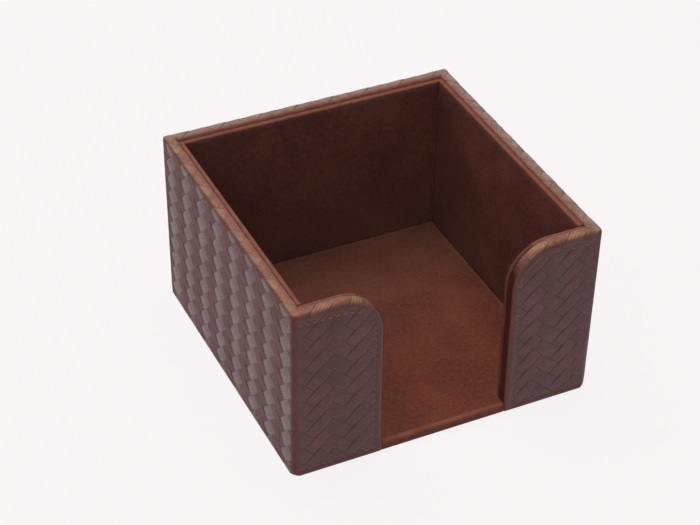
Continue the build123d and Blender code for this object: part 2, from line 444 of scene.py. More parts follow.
@dataclass(frozen=True)
class EmbossedLeather:
    """Brown cover leather with a herringbone emboss and a low sheen."""

    weave: Weave = Weave()
    strand_dark: tuple = linear(84, 34, 36)
    strand_light: tuple = linear(105, 46, 47)
    # dark colour of the painted shade in the gaps, furrows, creases, beside the stitches and inside the
    # notch; it also darkens the leather where the emboss is shallow
    gap_colour: tuple = linear(50, 18, 16)
    band_shade_colour: tuple = linear(92, 31, 20)  # painted shade in the band between the stitches and the edge
    # lighter rubbed leather of the rolled edges; on the rim's top it is also painted light from above
    edge_colour: tuple = linear(169, 108, 74)
    inner_edge_colour: tuple = linear(147, 84, 61)
    dust_and_sheen_edge_colour: tuple = linear(168, 142, 132)  # greyer outer half of the back and right rims: dust, and painted sheen
    crest_highlight_colour: tuple = linear(187, 151, 120)  # painted highlight on the rubbed ridges of the rolled edge
    roughness: float = 0.36
    falling_roughness: float = 0.2  # added on the strands that slant down, on the sides
    specular: float = 0.44
    line_width: float = 0.12  # of the sharp line at a strand's edge, as a share of its width
    dust_and_sheen_rims: Flat = (0.0484, 0.0506)  # where the dust and painted sheen begin and are full, x or y in metres
    side_faces: Flat = (0.0506, 0.0518)  # where the faces of the side walls begin, x in metres
    notch_width: Flat = (0.0245, 0.0225)  # where the painted shade on the notch's edges begins and is full, x in metres
    notch_front: Flat = (0.0522, 0.0510)  # and where they turn inwards, y in metres
    notch_shade: float = 0.55  # how dark the painted shade is from there on

    def lines(self) -> Tree:
        """Group with the weave's finest lines and the tone of each strand.

        Returns:
            The shader group.
        """
        w, source, sink = open_tree(
            "Shader", "strand lines", [("Flat", "Vector"), *self.weave.inputs()],
            [(name, "Float") for name in ("Ridges", "Edges", "Fibres", "Tone", "Rising", "Middle")])
        strand = strand_place(w, source["Flat"], *self.weave.sockets(source))
        along, across, rising, tone, side, end = strand.values()
        turn = w.times(w.times(across, source["Ridges"]), 2 * math.pi)
        w.feed(sink["Ridges"], w.line(w.math("COSINE", turn), -0.5, 0.5))
        line = w.times(w.ramp(side, 0.01, self.line_width, 1.0, 0.0), w.line(rising, 0.8, 0.2))
        tip = w.ramp(end, 0.01, self.line_width, 0.7, 0.0)
        w.feed(sink["Edges"], w.most(line, tip))
        drawn = w.join(w.times(across, 7.0), w.times(along, 1.4), w.times(tone, 60.0))
        w.feed(sink["Fibres"], w.ramp(w.noise(drawn, 1.0, 3.0, Roughness=0.6), 0.3, 0.7))
        w.feed(sink["Middle"], w.times(rising, w.ramp(end, 0.0, 0.24)))
        w.feed(sink["Tone"], tone)
        w.feed(sink["Rising"], rising)
        return w.tree

    def material(self, effects: Effects) -> Finish:
        """Builds the material.

        Args:
            effects: the shared shader groups.

        Returns:
            The material.
        """
        material, w, shader = new_material("embossed leather")
        dark = self.gap_colour
        flat = w.node("ShaderNodeAttribute", attribute_name=FLAT).outputs["Vector"]
        relief, gap, edge, seam = (w.attribute(name) for name in (RELIEF, GAP, EDGE, SEAM))
        place = w.place()
        weave = {title.replace(" ", "_"): value for title, _, value in self.weave.inputs()}
        lines = w.group(self.lines(), Flat=flat, **weave)
        grain = w.group(effects.grain, Vector=place, Pebble_Size=0.0006, Stretch=0.3)
        dye = w.group(effects.mottle, Vector=place, Patch_Size=0.012, Dark=self.strand_dark,
                      Light=self.strand_light, Contrast=1.6)
        wear = w.group(effects.wear, Vector=place, Edge=edge, Patch_Size=0.003, Amount=0.95)["Mask"]

        rising = lines["Rising"]
        tone = w.ramp(lines["Tone"], 0.0, 1.0, 0.94, 1.05)
        # painted sheen: the rising strands are a little lighter than the falling ones
        tone = w.times(tone, w.line(rising, 0.03, 0.98))
        colour = w.blend(1.0, dye["Color"], tone, "MULTIPLY")
        colour = w.blend(w.ramp(relief, 0.0, 0.8, 0.3, 0.0), colour, dark)
        # painted shade: the band between the stitches and the rolled edge is darker and redder
        band_shade = w.times(w.ramp(seam, 0.3, -0.4), w.ramp(seam, -3.6, -4.6, 0.85, 0.0))
        colour = w.blend(band_shade, colour, self.band_shade_colour)
        inner = w.ramp(edge, 1.0, 2.0)
        rubbed = w.blend(inner, self.edge_colour, self.inner_edge_colour)
        x, y, _ = w.split(place)
        # painted sheen with some dust: the back and right rims turn greyer towards their outer side
        dust_and_sheen = w.ramp(w.most(x, y), *self.dust_and_sheen_rims, 0.0, 0.75)
        rubbed = w.blend(dust_and_sheen, rubbed, self.dust_and_sheen_edge_colour)
        # rubbed colour of the edges, which on the rim's top is also painted light from above
        colour = w.blend(wear, colour, rubbed)
        # painted highlight with some rubbing: the ridges of the rising strands are lighter on the rubbed
        # edge
        crest_highlight = w.times(w.ramp(lines["Ridges"], 0.45, 0.9), rising)
        crest_highlight = w.times(crest_highlight, w.times(wear, w.ramp(inner, 0.2, 0.8, 0.55, 0.0)))
        colour = w.blend(crest_highlight, colour, self.crest_highlight_colour)
        # painted shade in the furrows between the fine ridges, more on the falling strands
        furrow = w.times(w.minus(1.0, lines["Ridges"]), relief)
        colour = w.blend(w.times(furrow, w.line(rising, -0.16, 0.22)), colour, dark)
        # painted shade in the low streaks of the fibres, more on the falling strands
        fibre_shade = w.times(w.minus(1.0, lines["Fibres"]), relief)
        colour = w.blend(w.times(fibre_shade, w.line(rising, -0.12, 0.36)), colour, dark)
        # painted shade in the grain's creases
        colour = w.blend(w.times(grain["Creases"], 0.15), colour, dark)
        aside = w.ramp(w.size(x), *self.side_faces)
        front = w.line(aside, -0.45, 0.55)
        # painted shade in the groove of the stitched line, weaker on the side walls
        seam_groove_shade = w.ramp(w.size(seam), 0.1, 0.6, front, 0.0)
        # painted shade at the bottoms of the gaps between strands, darker on rubbed edges
        sunk = w.times(gap, w.line(wear, 0.35, 0.15))
        # painted shade: dark lines along the strands' edges, mostly beside the rising strands, fainter
        # on the side walls
        thin = w.times(lines["Edges"], relief)
        colour = w.blend(w.times(thin, w.line(aside, -0.6, 0.85)), colour, dark)
        colour = w.blend(w.most(sunk, seam_groove_shade), colour, dark)
        # painted shade on the inner side of the notch edges
        notch = w.times(w.ramp(w.size(x), *self.notch_width),
                        w.ramp(w.size(y), *self.notch_front, 0.0, self.notch_shade))
        colour = w.blend(w.times(notch, w.ramp(y, 0.0, -0.04)), colour, dark)

        rough = w.line(dye["Patches"], -0.08, self.roughness + 0.04)
        dull = w.times(w.minus(1.0, lines["Middle"]), aside)
        rough = w.line(gap, 0.05, w.line(dull, self.falling_roughness, rough))

        even = w.ramp(w.noise(place, 260.0, 3.0), 0.35, 0.65, 0.2, 0.7)
        height = w.times(w.line(lines["Ridges"], even, lines["Fibres"]), relief)
        height = w.line(grain["Height"], 0.45, w.line(thin, -1.2, height))
        w.dress(shader, Base_Color=colour, Roughness=rough, Specular_IOR_Level=self.specular,
                Normal=w.bump(height, 0.45))
        return material


@dataclass(frozen=True)
class SmoothLeather:
    """Waxed lining leather, cloudy red-brown."""

    name: str = "lining leather"
    dark: tuple = linear(88, 51, 47)
    light: tuple = linear(120, 72, 62)
    edge_colour: tuple = linear(148, 96, 80)
    roughness: float = 0.5
    specular: float = 0.12
    patch: float = 0.02
    contrast: float = 1.2
    rubbed: float = 0.7  # share of the edge colour on the edges
    # a lighter, greyer colour towards the back and the foot inside the box
    back_foot_colour: tuple = linear(116, 84, 74)
    back_foot_share: float = 0.62  # share of that colour deep inside the box
    back_foot_y: Flat = (-0.03, 0.045)  # where that colour begins and is full, y in metres
    back_foot_z: Flat = (0.045, 0.004)  # the same downwards, z in metres

    def material(self, effects: Effects) -> Finish:
        """Builds the material.

        Args:
            effects: the shared shader groups.

        Returns:
            The material.
        """
        material, w, shader = new_material(self.name)
        place = w.place()
        edge = w.attribute(EDGE)
        grain = w.group(effects.grain, Vector=place, Pebble_Size=0.0008, Stretch=0.22)
        dye = w.group(effects.mottle, Vector=place, Patch_Size=self.patch, Dark=self.dark,
                      Light=self.light, Contrast=self.contrast)
        wear = w.group(effects.wear, Vector=place, Edge=edge, Patch_Size=0.005, Amount=self.rubbed)
        # painted shade in the grain's creases
        colour = w.blend(w.times(grain["Creases"], 0.25), dye["Color"], self.dark)
        _, y, z = w.split(place)
        # lighter and greyer towards the back and the foot inside the box
        deep = w.times(w.ramp(y, *self.back_foot_y), w.ramp(z, *self.back_foot_z, 0.0, self.back_foot_share))
        uneven = w.line(dye["Patches"], 0.45, 0.55)
        colour = w.blend(w.times(deep, uneven), colour, self.back_foot_colour)
        colour = w.blend(wear["Mask"], colour, self.edge_colour)
        rough = w.line(dye["Patches"], 0.14, self.roughness)
        w.dress(shader, Base_Color=colour, Roughness=rough, Specular_IOR_Level=self.specular,
                Normal=w.bump(grain["Height"], 0.4))
        return material


@dataclass(frozen=True)
class Thread:
    """Waxed sewing thread."""

    dark: tuple = linear(94, 56, 50)
    light: tuple = linear(148, 104, 88)

    def material(self) -> Finish:
        """Builds the material with the twist of the thread in its colour and bump.

        Returns:
            The material.
        """
        material, w, shader = new_material("thread")
        place = w.place()
        fibres = w.noise(place, 2600.0, 3.0)
        patch = w.noise(place, 90.0, 2.0)
        both = w.line(fibres, 0.5, w.times(patch, 0.6))
        w.dress(shader, Base_Color=w.blend(w.ramp(both, 0.35, 0.75), self.dark, self.light),
                Roughness=w.ramp(fibres, 0.3, 0.7, 0.55, 0.75), Normal=w.bump(fibres, 0.5))
        return material


@dataclass(frozen=True)
class Fibre:
    """Pressed fibres: grey board, card or felt."""

    name: str
    dark: tuple
    light: tuple
    fibre: float  # size of a fibre, in metres
    roughness: float = 0.9
    depth: float = 0.00005

    def material(self) -> Finish:
        """Builds the material from long crossed fibres and specks.

        Returns:
            The material.
        """
        material, w, shader = new_material(self.name)
        place = w.place()
        fibres = w.noise(place, 1 / self.fibre, 4.0, Distortion=2.0)
        clumps = w.noise(place, 0.12 / self.fibre, 2.0)
        both = w.line(clumps, 0.4, w.times(fibres, 0.6))
        w.dress(shader, Base_Color=w.blend(w.ramp(both, 0.35, 0.65), self.dark, self.light),
                Roughness=w.ramp(fibres, 0.3, 0.7, self.roughness - 0.08, self.roughness),
                Normal=w.bump(fibres, 0.6, self.depth))
        return material


# ---- mesh helper
@dataclass
class Skin:
    """Points and faces of one leather surface, with what the emboss needs to know of each point."""

    points: list[Point] = field(default_factory=list)
    flats: list[Flat] = field(default_factory=list)
    reliefs: list[float] = field(default_factory=list)
    edges: list[float] = field(default_factory=list)
    faces: list[list[int]] = field(default_factory=list)

    def point(self, place: Sequence[float], flat: Flat, relief: float = 0.0,
              edge: float = 0.0) -> int:
        """Adds a point.

        Args:
            place: where it is, in mm.
            flat: where it was on the unrolled leather, in mm.
            relief: how deep the emboss is pressed there.
            edge: how much it lies on a rolled edge.

        Returns:
            Its number.
        """
        self.points.append(tuple(place))
        self.flats.append(flat)
        self.reliefs.append(relief)
        self.edges.append(edge)
        return len(self.points) - 1

    def span(self, rows: Sequence[Sequence[int]]) -> None:
        """Fills the strips between rows of points, each as far as both of its rows go.

        Args:
            rows: the rows, in order.
        """
        for first, second in zip(rows, rows[1:]):
            for a, b, c, d in zip(first, first[1:], second[1:], second):
                self.faces.append([a, b, c, d])

    def object(self, name: str, seam: Callable[[Flat], float], mirrored: bool,
               shift: float) -> Piece:
        """Makes the surface an object in metres, with its seams closed and its faces outwards.

        Args:
            name: the piece's name.
            seam: gives the signed distance from a place on the flat leather to the stitched line.
            mirrored: whether it is for the other side of the box.
            shift: how far along the strip this part begins.

        Returns:
            The object.
        """
        sign = -1.0 if mirrored else 1.0
        mesh = bpy.data.meshes.new(name)
        places = [(sign * x * MM, y * MM, z * MM) for x, y, z in self.points]
        mesh.from_pydata(places, [], self.faces)
        flat = mesh.attributes.new(FLAT, "FLOAT_VECTOR", "POINT")
        flat.data.foreach_set("vector", [value for s, t in self.flats
                                         for value in (sign * s + shift, t, 0.0)])
        for title, values in ((RELIEF, self.reliefs), (EDGE, self.edges),
                              (SEAM, [seam(place) for place in self.flats])):
            mesh.attributes.new(title, "FLOAT", "POINT").data.foreach_set("value", values)
        return close_up(mesh, name)


def link_object(name: str, data: bpy.types.ID) -> Piece:
    """Puts a mesh, a lamp or a camera in the scene as an object.

    Args:
        name: the object's name.
        data: what it holds.

    Returns:
        The object.
    """
    item = bpy.data.objects.new(name, data)
    bpy.context.scene.collection.objects.link(item)
    return item


def close_up(mesh: bpy.types.Mesh, name: str, join: float = 1e-6, sharp: float = 50.0) -> Piece:
    """Closes a mesh's seams, turns its faces outwards and links it as an object.

    Args:
        mesh: the mesh.
        name: the object's name.
        join: points nearer than this become one, in metres.
        sharp: an edge that turns more than this is drawn as an edge, in degrees.

    Returns:
        The object.
    """
    work = bmesh.new()
    work.from_mesh(mesh)
    bmesh.ops.remove_doubles(work, verts=work.verts, dist=join)
    bmesh.ops.dissolve_degenerate(work, dist=join, edges=work.edges)
    bmesh.ops.recalc_face_normals(work, faces=work.faces)
    work.to_mesh(mesh)
    work.free()
    mesh.polygons.foreach_set("use_smooth", [True] * len(mesh.polygons))
    mesh.set_sharp_from_angle(angle=math.radians(sharp))
    return link_object(name, mesh)


def held(value: float) -> float:
    """The value, held between 0 and 1."""
    return min(1.0, max(0.0, value))


def smooth(value: float) -> float:
    """Smooth step from 0 to 1 as the value goes from 0 to 1."""
    share = held(value)
    return share * share * (3 - 2 * share)


def spread(start: float, end: float, count: int) -> list[float]:
    """Evenly spaced values from start to end, count steps long."""
    return [start + (end - start) * step / count for step in range(count + 1)]


def corner_rays(sign_y: int, steps: int) -> list[Vector]:
    """Directions out of an upright corner on the left.

    Args:
        sign_y: -1 for the front corner, 1 for the back one.
        steps: how many steps the quarter turn has.

    Returns:
        The directions, from the front or the left wall's onwards.
    """
    first = math.radians(270 if sign_y < 0 else 180)
    angles = [first - math.pi / 2 * step / steps for step in range(steps + 1)]
    return [Vector((math.cos(angle), math.sin(angle), 0)) for angle in angles]


def rounded(away: float, radius: float) -> float:
    """How far a rounded edge drops below a face, at a distance from the edge."""
    return radius - math.sqrt(max(0.0, radius ** 2 - (radius - away) ** 2)) if away < radius else 0.0


# ---- cover
@dataclass(frozen=True)
class Station:
    """One cut across the rolled edge of the cover: its place and its two directions."""

    edge: Vector  # on the outer face's plane, at the free edge
    out: Vector  # in that plane, towards the free edge
    face: Vector  # out of the box
    flat: Vector  # place on the flat leather where the roll begins
    turn: Vector | None = None  # centre of the upright corner, on one
    sunk: float = 0.0  # how far the foot's rounding sets it back
    square: float = 2.4  # shape of the roll: 2 is round, more is squarer
    full: bool = True  # whether the leather reaches behind the board there


@dataclass
class Edge:
    """Rolled edge of one side of the box, with what the filling of its cheek needs to know."""

    stations: list[Station]
    rolled: list[list[int]]  # the points of each station's cut
    foot_count: int  # how many stations belong to the foot of the notch edge
    turn: int  # number of the station half-way round the shoulder
    first_corner: int  # number of the upright corner's first station
    corner: list[int] = field(default_factory=list)  # points of the wall column below that one


@dataclass
class Cover:
    """Embossed leather strip, wrapped round the walls and rolled over the rim and the notch edges."""

    half: float  # half of the box's width and depth
    height: float
    foot: float  # level of its turned-under edge
    skin: float
    base_top: float  # level where the walls' inside begins
    notch: float  # half of the notch's width
    grid: float = 0.315  # size of a mesh cell on the embossed faces
    corner: float = 2.5
    roll: float = 1.9
    inner_roll: float = 1.2
    foot_roll: float = 0.8
    wall: float = 4.0  # from the outer face to the lining
    pared: float = 0.4
    turn_in: float = 12.0
    turn_under: float = 14.0
    turn_under_skin: float = 0.5
    under_inset: float = 0.25  # how far the turned-under edge's end lies behind the notch edge
    shoulder: float = 15.0
    stitch_notch: float = 3.0  # from the notch edge to the stitches
    stitch_rim: float = 4.4  # from the rim
    stitch_foot: float = 2.4  # from the cover's lower edge
    stitch_inset: float = 0.36  # how deep the thread's middle lies along the rim and the foot
    stitch_deep: float = 0.5  # and along the upright notch edges, where it is pulled tight
    weave: Weave = Weave()
    gap_depth: float = 0.12
    gap_width: float = 0.085  # share of a strand's width
    falling_gap: float = 0.35  # how deep the gaps between falling strands are, beside the others
    ridge_depth: float = 0.045
    end_dip: float = 0.14
    seam_depth: float = 0.14
    seam_width: float = 0.8
    puff_depth: float = 0.12  # how far the seam pulls the leather in on both sides
    puff_width: float = 2.6
    crown_share: float = 0.25  # how far a strand's edges lie below its middle, as a share of a gap
    corner_pinch: float = 0.25  # how much further out the upright corners stand at the rim
    foot_tuck: float = 0.45  # how far the corners' feet are drawn in
    tuck_height: float = 3.0  # up to this far above the foot
    foot_square: float = 5.0  # how much squarer the notch's roll is at the foot
    foot_square_height: float = 9.0  # up to this level
    rim_square: float = 3.3  # how square the rim is
    corner_square: float = 0.9  # how much squarer at the upright corners
    corner_square_length: float = 6.0  # this far from them
    fade_height: float = 1.5  # over which the emboss fades out above the foot
    least_fade: float = 0.15
    roll_relief: float = 0.85  # how much of the emboss is left where the roll begins
    roll_loss: float = 0.45  # how much less on its inner side
    roll_reach: float = 6.0  # way round the roll where the emboss ends
    upright_rub_and_light: float = 0.04  # how much an upright edge is rubbed, as a share of the rim
    extra_row: float = 2.4  # how much of the rim's colour an upright edge gets: the rim's colour is rubbing and painted light from above

    @property
    def reach(self) -> float:
        """From the middle of a wall to where its upright corner begins."""
        return self.half - self.corner

    @property
    def foot_level(self) -> float:
        """Level where the foot's rounding begins."""
        return self.foot + self.foot_roll

    @property
    def rows(self) -> int:
        """Number of mesh cells in a wall's height."""
        return round((self.height - self.roll - self.foot - self.foot_roll) / self.grid)

    @property
    def quarter(self) -> float:
        """Half of an upright corner's length along the leather."""
        return self.corner * math.pi / 4

    @property
    def side_length(self) -> float:
        """Along the leather from the middle of one upright corner to the middle of the next."""
        return 2 * self.reach + 2 * self.quarter

    # -- the free edge
    def foot_angles(self) -> list[float]:
        """Angles round the foot's rounding, one of them level with the base board's underside."""
        return [math.asin((self.foot_roll - self.turn_under_skin) / self.foot_roll),
                math.radians(52), math.pi / 2]

    def notch_stations(self) -> tuple[list[Station], int, int]:
        """Stations from the foot of the left notch edge over its shoulder to the upright corner.

        Returns:
            The stations, how many belong to the foot, and the number of the one half-way round
            the shoulder.
        """
        face, out = Vector((0, -1, 0)), Vector((1, 0, 0))
        start = self.foot_level

        def upright(level: float, sunk: float = 0.0, full: bool = True) -> Station:
            """A station on the upright notch edge.

            Args:
                level: its height.
                sunk: how far it is set back.
                full: whether the leather reaches behind the board there.

            Returns:
                The station.
            """
            low = max(0.0, 1.0 - level / self.foot_square_height)
            return Station(Vector((-self.notch, -self.half, level)), out, face,
                           Vector((self.flat_x(-self.notch - self.roll), level)), None, sunk,
                           Station.square + self.foot_square * low, full)

        stations = [upright(start - self.foot_roll * math.sin(angle),
                            self.foot_roll * (1 - math.cos(angle)), False)
                    for angle in reversed(self.foot_angles())]
        foot_count = len(stations)
        shoulder_level = self.height - self.shoulder
        arc = (self.shoulder - self.roll) * math.pi / 4
        arc_rows = round(self.rows * arc / (arc + shoulder_level - start))
        low_rows = 4
        levels = spread(start, self.base_top, low_rows)[:-1]
        stations += [upright(level, 0.0, False) for level in levels]
        levels = spread(self.base_top, shoulder_level, self.rows - arc_rows - low_rows)
        stations += [upright(level) for level in levels]
        centre = Vector((-self.notch - self.shoulder, -self.half, shoulder_level))
        across = round(arc / self.grid)
        angles = spread(0, math.pi / 4, arc_rows)[1:] + spread(math.pi / 4, math.pi / 2, across)[1:]
        for angle in angles:
            ray = Vector((math.cos(angle), 0, math.sin(angle)))
            start_of_roll = centre + ray * (self.shoulder - self.roll)
            stations.append(Station(centre + ray * self.shoulder, ray, face,
                                    Vector((self.flat_x(start_of_roll.x), start_of_roll.z))))
        turn = len(stations) - across - 1
        count = round((centre.x + self.reach) / self.grid)
        stations += [self.rim_station(Vector((x, -self.half)), face, self.flat_x(x))
                     for x in spread(centre.x, -self.reach, count)[1:-1]]
        return stations, foot_count, turn

    def flat_x(self, x: float) -> float:
        """Place along the flat leather of a point on the front wall."""
        return x + self.half - self.corner + self.quarter

    def rim_station(self, spot: Vector, face: Vector, along: float,
                    turn: Vector | None = None) -> Station:
        """A station on the level rim.

        Args:
            spot: its place in plan.
            face: which way the wall faces there.
            along: its place along the flat leather.
            turn: centre of the upright corner, on one.

        Returns:
            The station.
        """
        away = max(0.0, self.reach - min(abs(spot.x), abs(spot.y))) / self.corner_square_length
        return Station(Vector((spot.x, spot.y, self.height)), Vector((0, 0, 1)), face,
                       Vector((along, self.height - self.roll)), turn, 0.0,
                       self.rim_square + self.corner_square * max(0.0, 1.0 - away))

    def corner_stations(self, sign_y: int, along: float) -> list[Station]:
        """Stations round an upright corner on the left, from the front or left wall onwards.

        Args:
            sign_y: -1 for the front corner, 1 for the back one.
            along: place along the flat leather at its middle.

        Returns:
            The stations.
        """
        centre = Vector((-self.reach, sign_y * self.reach))
        steps = 10
        return [self.rim_station(centre + ray.xy * self.corner, ray,
                                 along + self.quarter * (1 - 2 * step / steps), centre)
                for step, ray in enumerate(corner_rays(sign_y, steps))]

    def wall_stations(self, start: Vector, end: Vector, face: Vector, along: float) -> list[Station]:
        """Stations along a straight rim, without its two ends.

        Args:
            start: first place in plan.
            end: last place in plan.
            face: which way the wall faces.
            along: place along the flat leather at the start.

        Returns:
            The stations.
        """
        length = (end - start).length
        count = round(length / self.grid)
        return [self.rim_station(start.lerp(end, step / count), face, along - length * step / count)
                for step in range(1, count)]

    # -- a cut through the leather
    def place(self, station: Station, depth: float, back: float) -> Vector:
        """A point of the cut.

        Args:
            station: where the cut is.
            depth: how far inside the outer face.
            back: how far from the free edge.

        Returns:
            The point.
        """
        if station.turn is None:
            return station.edge - station.face * depth - station.out * back
        radius = self.corner - depth
        share = max(0.0, (station.edge.z - back) / self.height)
        power = 1 / (0.5 - math.log2(1.0 + self.corner_pinch * share))
        ray = station.face.xy
        low = max(0.0, 1.0 - (station.edge.z - back - self.foot) / self.tuck_height)
        radius -= self.foot_tuck * 2 * abs(ray.x * ray.y) * low ** 2 * (1.0 if depth < 1.0 else 0.0)
        ray = ray / (abs(ray.x) ** power + abs(ray.y) ** power) ** (1 / power)
        if radius < 0:
            ray = Vector((math.copysign(1, station.turn.x), math.copysign(1, station.turn.y)))
        spot = station.turn + ray * radius
        return Vector((spot.x, spot.y, station.edge.z - back))

    def cut(self, station: Station) -> list[tuple[float, float, float, float, float]]:
        """Outline of the leather from the start of the roll round to the same level behind it.

        Args:
            station: where the cut is.

        Returns:
            Depth, distance from the free edge, way along the leather, relief and edge of each point.
        """
        sunk, radius, power = station.sunk, self.roll - station.sunk, 2 / station.square
        last = math.acos((1 - (self.skin - sunk) / radius) ** (1 / power))
        angles = spread(0, last, 5) + (spread(last, math.pi / 2, 2)[1:] if station.full else [])
        outline = [(sunk + radius * (1 - max(0.0, math.cos(angle)) ** power),
                    self.roll - radius * math.sin(angle) ** power) for angle in angles]
        if station.full:
            top = self.wall - self.inner_roll - self.roll
            outline += [(self.roll + way, 0.0) for way in spread(0, top, 4)[1:]]
            outline += [(self.wall - self.inner_roll * (1 - math.sin(angle)),
                         self.inner_roll * (1 - math.cos(angle)))
                        for angle in spread(0, math.pi / 2, 4)[1:]]
            outline += [(self.wall, self.extra_row), (self.wall, self.turn_in)]
        result, way = [], 0.0
        previous = outline[0]
        # the rubbed colour is full where the edge faces up and all but gone where it is upright: partly
        # wear, partly painted light from above
        rise = max(0.0, station.out.z)
        level = self.upright_rub_and_light + (1 - self.upright_rub_and_light) * rise ** 3
        calm = self.calm(station.flat.x)
        rubbed = 0.6 + 0.8 * abs(station.face.x)  # where the rubbed part of the roll begins
        for depth, back in outline:
            way += math.hypot(depth - previous[0], back - previous[1])
            previous = (depth, back)
            relief = calm * (self.roll_relief - self.roll_loss * smooth((way - 2.0) / 3.0))
            relief *= 0.5 + 0.5 * rise
            behind = way > self.roll_reach or (station.turn and depth > self.corner - 0.3)
            if station.sunk > 0 or behind:
                relief = 0.0
            edge = level * (smooth((way - rubbed) / 1.0) + smooth((way - 2.6) / 2.4))
            result.append((depth, back, way, relief, edge))
        return result

    def hidden(self) -> list[tuple[float, float]]:
        """The cut's way back behind the board.

        Returns:
            Depth and distance from the free edge of each point.
        """
        inside = self.wall - self.pared
        board_roll = self.roll - self.skin
        result = [(inside, self.turn_in), (inside, self.skin), (self.roll, self.skin)]
        return result + [(self.roll - board_roll * math.cos(angle),
                          self.roll - board_roll * math.sin(angle))
                         for angle in spread(math.pi / 2, 0, 3)[1:]]

    def roll_row(self, skin: Skin, station: Station) -> list[int]:
        """Adds the points of one cut.

        Args:
            skin: the surface.
            station: where the cut is.

        Returns:
            Their numbers, from the outer face round the edge to the hidden side.
        """
        direction = Vector((station.out.x, station.out.z))
        row = [skin.point(self.place(station, depth, back), tuple(station.flat + direction * way),
                          relief, edge)
               for depth, back, way, relief, edge in self.cut(station)]
        if station.full:
            row += [skin.point(self.place(station, depth, back), tuple(station.flat))
                    for depth, back in self.hidden()]
        return row

    def calm(self, along: float) -> float:
        """How much of the emboss is left where the leather is stretched round an upright corner."""
        away = abs((along + self.side_length / 2) % self.side_length - self.side_length / 2)
        return 0.15 + 0.85 * smooth((away - 1.5) / 1.2)

    def strength(self, flat: Flat) -> float:
        """How deep the emboss is pressed at a place of the flat leather.

        Args:
            flat: the place.

        Returns:
            The depth, which is less outside the stitches and fades out at the foot.
        """
        inside = held((self.inside_seam(flat) + 0.6) / 1.2)
        fade = max(self.least_fade, min(1.0, (flat[1] - self.foot_level) / self.fade_height))
        return self.calm(flat[0]) * (0.8 + 0.2 * inside) * fade

    def column(self, skin: Skin, station: Station, row: Sequence[int]) -> list[int]:
        """Adds the points of a wall below one cut, down to its foot and back behind the board.

        Args:
            skin: the surface.
            station: where the cut is.
            row: the cut's own points.

        Returns:
            The numbers of the whole loop, from the roll's start down and round to its end.
        """
        end, along = self.foot_level, station.flat.x
        loop = [row[0]]
        for level in spread(self.height - self.roll, end, self.rows)[1:]:
            flat = (along, level)
            loop.append(skin.point(self.place(station, 0.0, self.height - level), flat,
                                   self.strength(flat)))
        for angle in self.foot_angles():
            level = end - self.foot_roll * math.sin(angle)
            depth = self.foot_roll * (1 - math.cos(angle))
            loop.append(skin.point(self.place(station, depth, self.height - level),
                                   (along, end - self.foot_roll * angle)))
        upper = self.foot + self.turn_under_skin
        for depth, level in ((self.turn_under, self.foot), (self.turn_under, upper),
                             (self.skin, upper)):
            loop.append(skin.point(self.place(station, depth, self.height - level),
                                   (along, self.foot - depth)))
        loop.append(row[-1])
        return loop

    # -- the stitched line, on the flat leather
    def inside_seam(self, flat: Flat) -> float:
        """Signed distance to the stitched line, more than 0 on the embossed side of it.

        Args:
            flat: a place of the flat leather.

        Returns:
            The distance, in mm.
        """
        along, up = flat
        rim = self.height - self.stitch_rim - up
        foot = up - self.foot - self.stitch_foot
        notch_along = self.flat_x(-self.notch)
        side = notch_along - self.stitch_notch - along
        centre_along = self.flat_x(-self.notch - self.shoulder)
        centre_up = self.height - self.shoulder
        if along > centre_along and up > centre_up:
            away = Vector((along - centre_along, up - centre_up))
            share = math.atan2(away.y, away.x) / (math.pi / 2)
            return min(self.seam_radius(share) - away.length, foot)
        return min(rim, foot, side)

    def seam_radius(self, share: float) -> float:
        """Radius of the stitched line at a share of its way round the shoulder."""
        return self.shoulder - self.stitch_notch + (self.stitch_notch - self.stitch_rim) * share

    def seam_line(self) -> list[tuple[Vector, Vector]]:
        """The stitched line from the foot of the notch edge to the middle of the back wall.

        Returns:
            Points with the wall's normal at each.
        """
        x_in = -self.notch - self.stitch_notch
        centre = Vector((-self.notch - self.shoulder, 0, self.height - self.shoulder))
        front = Vector((0, -1, 0))
        levels = spread(self.foot + self.stitch_foot, centre.z, 40)
        line = [(Vector((x_in, self.stitch_deep - self.half, level)), front) for level in levels]
        for share in spread(0, 1, 24)[1:]:
            ray = Vector((math.cos(share * math.pi / 2), 0, math.sin(share * math.pi / 2)))
            place = centre + ray * self.seam_radius(share)
            sunk = self.stitch_deep + (self.stitch_inset - self.stitch_deep) * share
            line.append((Vector((place.x, sunk - self.half, place.z)), front))
        return line + self.level_line(self.height - self.stitch_rim)

    def level_line(self, level: float) -> list[tuple[Vector, Vector]]:
        """A level line from the front wall round the left corners to the middle of the back wall.

        Args:
            level: its height.

        Returns:
            Points with the wall's normal at each.
        """
        reach, near = self.reach, self.half - self.stitch_inset
        line = [(Vector((x, -near, level)), Vector((0, -1, 0)))
                for x in spread(-self.notch - self.shoulder, -reach, 12)[1:-1]]
        for sign_y in (-1, 1):
            centre = Vector((-reach, sign_y * reach, level))
            line += [(centre + ray * (self.corner - self.stitch_inset), ray)
                     for ray in corner_rays(sign_y, 8)]
            if sign_y < 0:
                line += [(Vector((-near, y, level)), Vector((-1, 0, 0)))
                         for y in spread(-reach, reach, 60)[1:-1]]
        return line + [(Vector((x, near, level)), Vector((0, 1, 0)))
                       for x in spread(-reach, 0, 30)[1:]]

